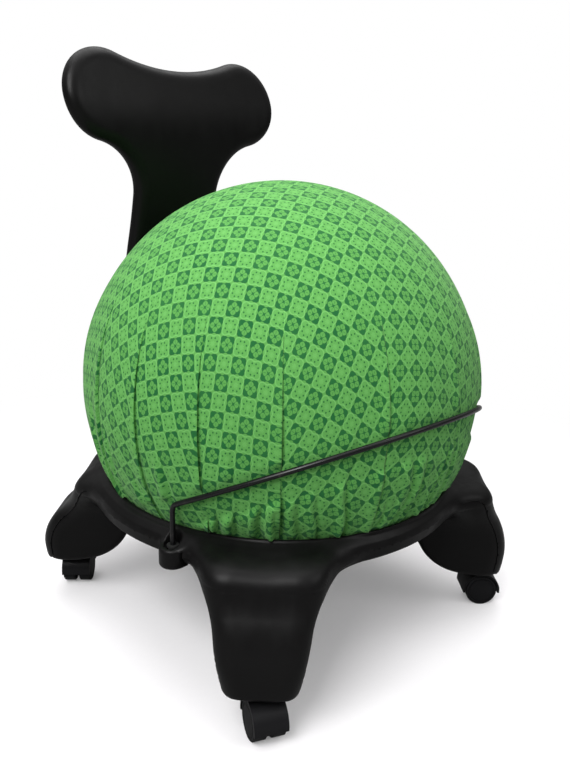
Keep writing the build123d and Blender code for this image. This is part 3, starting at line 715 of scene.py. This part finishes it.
def cover_surface(turn, theta, gore_share, depths):
    """Radius of the cloth at azimuth turn and polar angle theta, both 2-D arrays."""
    radius = BALL_R - 0.4 + 1.4 * ease(theta, 45, 80) + 1.4 * ease(theta, 78, 104)
    radius = radius - 1.0 * ease(theta, 112, 119)
    puff = np.sin(np.pi * np.clip(gore_share, 0, 1)) ** 0.8
    radius = radius + 1.1 * puff * ease(theta, 62, 98) * (1 - 0.7 * ease(theta, 110, 120))
    radius = radius + 0.7 * np.sin(turn * 9 + 2.2 * np.sin(theta * 3.1)) * ease(theta, 40, 85)
    for _ in range(GATHERS):
        centre = rng.random() * 2 * math.pi
        begins = 82 + 28 * rng.random() ** 0.7
        width = 7.0 + 7.0 * rng.random()
        depth = 2.2 + 2.4 * rng.random()
        lean = 0.10 * (rng.random() - 0.5)
        wander = 0.02 * rng.random()
        path = centre + lean * (theta - 1.9) + wander * np.sin(theta * 14 + centre * 7)
        s = np.angle(np.exp(1j * (turn - path))) * BALL_R * np.maximum(np.sin(theta), 0.3)
        near = np.abs(s) < 3 * width
        grow = ease(theta, begins, begins + 14) * depth
        radius = radius + np.where(near, knife_fold(s, width) * grow, 0.0)
    return radius + depths


def cover_mesh():
    """A gored sphere: each gore's last column folds over the first column of the next."""
    edges = np.radians(np.array(PLEAT_TURNS + (PLEAT_TURNS[0] + 360,), float))
    gores = len(PLEAT_TURNS)
    begins = 52 + 14 * rng.random(gores)
    depth = 2.3 + 1.2 * rng.random(gores)
    slant = 0.10 * (rng.random(gores) - 0.35)
    share = np.linspace(0, 1, COLUMNS)
    share = share - 0.09 * np.sin(2 * np.pi * share)
    gore = np.repeat(np.arange(gores), COLUMNS)
    share = np.tile(share, gores)
    after = (gore + 1) % gores
    theta = np.linspace(0, HEM, ROWS)
    th = theta[None, :]
    sway = ease(th, 50, 110)
    turn = (edges[gore] + (edges[gore + 1] - edges[gore]) * share)[:, None]
    turn = turn + (slant[gore] * (1 - share) + slant[after] * share)[:, None] * sway
    arc = ((edges[gore + 1] - edges[gore]) * BALL_R)[:, None] * np.maximum(np.sin(th), 0.25)
    sh = share[:, None]

    def grown(index):
        return np.array([ease(theta, begins[i], begins[i] + 34) * depth[i] for i in index])

    own, before = grown(after), grown(gore)
    to_end, from_start = (1 - sh) * arc, sh * arc
    step_up = own * np.exp(-(to_end / 9.0) ** 2)
    step_down = before * 0.8 * np.exp(-(from_start / 5.0) ** 2)
    radius = cover_surface(turn, th + 0 * turn, sh + 0 * th, step_up - step_down)
    tuck = own * 0.9 * np.exp(-(to_end / 1.5) ** 2) - before * 0.7 * np.exp(-(from_start / 1.5) ** 2)
    turn = turn + tuck / (BALL_R * np.maximum(np.sin(th), 0.25))
    radius = np.maximum(radius, BALL_R - 1.2)
    radius = np.where(th > math.radians(118), np.minimum(radius, DISH_R - 0.5), radius)
    z = radius * np.cos(th)
    y = radius * np.sin(th) * np.sin(turn)
    # the cloth lies flat where the sides of the bar pass as the ball lifts
    bar_front_y, bar_front_z = bar_lo[1] + BAR_R - BALL[1], bar_hi[2] - BAR_R - BALL[2]
    from_bar = (z - bar_front_z + (y - bar_front_y) * BAR_SLOPE) / math.sqrt(1 + BAR_SLOPE ** 2)
    swept = smoothstep(-38, -28, from_bar) * (1 - smoothstep(2, 14, from_bar))
    pressed = swept * smoothstep(40, 90, np.abs(radius * np.sin(th) * np.cos(turn)) - y)
    radius = radius - np.maximum(radius - (BALL_R + 1.8), 0) * pressed
    ring = np.sin(th) * radius
    verts = np.stack([ring * np.cos(turn), ring * np.sin(turn), radius * np.cos(th)], axis=2)
    centre = BALL_R + 0.3
    roll = np.linspace(0, 1.8 * np.pi, HEM_ROWS + 1)[1:] + math.pi / 2 - HEM
    hem_ring = centre * math.sin(HEM) + 1.9 * np.cos(roll)
    hem_z = centre * math.cos(HEM) + 1.9 * np.sin(roll)
    hem_turn = turn[:, -1:]
    hem = np.stack([hem_ring * np.cos(hem_turn), hem_ring * np.sin(hem_turn), hem_z + 0 * hem_turn], axis=2)
    verts = np.concatenate([verts, hem], axis=1) + BALL
    rows = ROWS + HEM_ROWS
    columns = len(gore)
    ids = np.arange(columns * rows).reshape(columns, rows)
    ids[:, 0] = 0
    following = np.roll(ids, -1, axis=0)
    quads = np.stack([ids[:, :-1], ids[:, 1:], following[:, 1:], following[:, :-1]], axis=2)
    relax = ease(theta, 52, 108)
    gather = (theta * (1 - relax) + np.sin(theta) * relax) / np.maximum(theta, 1e-6)
    along = np.concatenate([theta * BALL_R, theta[-1] * BALL_R + 1.2 * np.arange(1, HEM_ROWS + 1)])
    gather = np.concatenate([gather, np.full(HEM_ROWS, gather[-1])])
    middle = (edges[gore] + edges[gore + 1]) / 2
    half = (edges[gore + 1] - edges[gore]) / 2
    offset = (share * 2 - 1) * half
    next_offset = np.where(share < 0.999, np.roll(offset, -1), offset)

    def printed(off):
        angle = middle[:, None] + off[:, None] * gather[None, :] - PRINT_TURN
        return np.stack([along * np.cos(angle), along * np.sin(angle)], axis=2)

    here, there = printed(offset), printed(next_offset)
    prints = np.stack([here[:, :-1], here[:, 1:], there[:, 1:], there[:, :-1]], axis=2) * MM
    return verts.reshape(-1, 3), quads.reshape(-1, 4), prints.reshape(-1, 4, 2)


verts, quads, prints = cover_mesh()
sides = [3 if quad[0] == quad[3] else 4 for quad in quads.tolist()]
faces = [quad[:count] for quad, count in zip(quads.tolist(), sides)]
corner_prints = [corner for face, count in zip(prints.tolist(), sides) for corner in face[:count]]
cover = add_mesh("fabric_cover_cloth", verts, faces, "ball")
layer = cover.data.uv_layers.new(name="print")
layer.data.foreach_set("uv", np.array(corner_prints, np.float32).ravel())
cover.data.materials.append(cotton)
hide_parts("fabric_cover")


# ------------------------------------------------------------------ CAD nodes that keep their shape

NODE_MATERIALS = {
    "base_screws": black_oxide, "bar_bushes": bush_rubber, "retaining_bar": bar_coat,
    "backrest_shell_screws": black_oxide, "backrest_bolts": black_oxide, "backrest_washers": zinc,
    "backrest_inserts": brass, "ball_bladder": ball_rubber, "ball_valve_plug": plug_plastic,
    "cover_hem_cord": elastic, "stem_sockets": socket_plastic, "stem_grip_rings": zinc}
for corner in ("front_left", "front_right", "rear_left", "rear_right"):
    NODE_MATERIALS[f"caster_{corner}_stem"] = zinc
    NODE_MATERIALS[f"caster_{corner}_axle"] = zinc
    NODE_MATERIALS[f"caster_{corner}_hood"] = hood_plastic
    for wheel in "ab":
        NODE_MATERIALS[f"caster_{corner}_wheel_{wheel}"] = wheel_plastic
for node, material in NODE_MATERIALS.items():
    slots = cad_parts[node].data.materials
    slots.clear()
    slots.append(material)


# ------------------------------------------------------------------ stage, light and camera

def studio_floor():
    """White paper that glows as emission for camera rays: a faint painted glow near the chair that lightens
    its cast shadows, growing to plain white glow away from it. Only the camera sees how white it is.
    """
    n = Nodes("studio_paper")
    seen = n.tree.nodes.new("ShaderNodeLightPath").outputs["Is Camera Ray"]
    fibre = n.noise(120.0, 4.0, 0.6)
    paper = n.mix(fibre, (0.90, 0.885, 0.90, 1.0), (0.93, 0.915, 0.93, 1.0))
    n.finish(Base_Color=n.mix(seen, grey(0.25), paper), Roughness=0.75, Specular_IOR_Level=0.2)
    # emission standing in for light: painted glow that lightens the floor's cast shadows near the chair and
    # makes the far floor plain white
    paper_glow = n.tree.nodes.new("ShaderNodeEmission")
    away = n.tree.nodes.new("ShaderNodeVectorMath")
    away.operation = "LENGTH"
    n.put(away.inputs[0], n.place())
    fade = n.tree.nodes.new("ShaderNodeMixShader")
    # the glow's share, for camera rays only: 0.18 near the chair, rising to 1.0 about a metre away
    n.put(fade.inputs[0], n.math("MULTIPLY", n.ramp(away.outputs["Value"], 0.25, 1.1, 0.18, 1.0), seen))
    n.put(fade.inputs[1], n.shader.outputs[0])
    n.put(fade.inputs[2], paper_glow.outputs[0])
    n.put(n.out.inputs[0], fade.outputs[0])
    mesh = bpy.data.meshes.new("studio_floor")
    mesh.from_pydata([(-14, -14, 0), (14, -14, 0), (14, 14, 0), (-14, 14, 0)], [], [(0, 1, 2, 3)])
    mesh.materials.append(n.material)
    floor = bpy.data.objects.new("studio_floor", mesh)
    bpy.context.scene.collection.objects.link(floor)


def studio_world():
    """Plain white to the camera; as a light, bright overhead and dim at the horizon."""
    world = bpy.data.worlds.new("studio")
    world.use_nodes = True
    nodes, links = world.node_tree.nodes, world.node_tree.links
    split = nodes.new("ShaderNodeSeparateXYZ")
    links.new(nodes.new("ShaderNodeTexCoord").outputs["Generated"], split.inputs[0])
    height = nodes.new("ShaderNodeMapRange")
    height.interpolation_type = "SMOOTHSTEP"
    links.new(split.outputs[2], height.inputs[0])
    for socket, value in zip(height.inputs[1:5], (0.05, 0.85, 0.10, 0.75)):
        socket.default_value = value
    seen = nodes.new("ShaderNodeLightPath").outputs["Is Camera Ray"]
    strength = nodes.new("ShaderNodeMix")
    links.new(seen, strength.inputs[0])
    links.new(height.outputs[0], strength.inputs[2])
    strength.inputs[3].default_value = 1.0
    background = nodes["Background"]
    background.inputs[0].default_value = (1.0, 1.0, 1.0, 1.0)
    links.new(strength.outputs[0], background.inputs[1])
    bpy.context.scene.world = world


LIGHT_AIM = Vector((0, 0, 0.4))


def soft_light(name, place, size, power):
    """A rectangular area light, metres and watts, turned to the middle of the chair."""
    lamp = bpy.data.lights.new(name, "AREA")
    lamp.shape = "RECTANGLE"
    lamp.size, lamp.size_y = size
    lamp.energy = power
    light = bpy.data.objects.new(name, lamp)
    light.location = place
    light.rotation_euler = (LIGHT_AIM - Vector(place)).to_track_quat("-Z", "Y").to_euler()
    bpy.context.scene.collection.objects.link(light)


CAMERA_DEGREES = (-43.7, 16.0, 1.55)
CAMERA_SIDE = 0.0105
CAMERA_AIM_Z = 0.3277
CAMERA_AWAY = 1.0754
SENSOR_MM, LENS_MM = 36.0, 36.7247


def camera():
    azimuth, elevation, roll = np.radians(CAMERA_DEGREES).tolist()
    back = Vector((math.sin(azimuth) * math.cos(elevation), -math.cos(azimuth) * math.cos(elevation),
                   math.sin(elevation)))
    flat = Vector((math.cos(azimuth), math.sin(azimuth), 0))
    up = back.cross(flat)
    right = flat * math.cos(roll) + up * math.sin(roll)
    top = up * math.cos(roll) - flat * math.sin(roll)
    data = bpy.data.cameras.new("camera")
    data.sensor_width = SENSOR_MM
    data.lens = LENS_MM
    eye = bpy.data.objects.new("camera", data)
    place = flat * CAMERA_SIDE + Vector((0, 0, CAMERA_AIM_Z)) + back * CAMERA_AWAY
    turn = Matrix((right, top, back)).transposed().to_4x4()
    eye.matrix_world = Matrix.Translation(place) @ turn
    bpy.context.scene.collection.objects.link(eye)
    bpy.context.scene.camera = eye


studio_floor()
studio_world()
soft_light("key", (-2.0, -0.7, 2.3), (1.5, 1.5), 78)
soft_light("fill", (0.9, -2.4, 1.9), (1.6, 1.2), 14)
soft_light("overhead", (0.3, 0.6, 3.0), (2.6, 2.6), 66)
bpy.context.scene.view_settings.view_transform = "Standard"
camera()
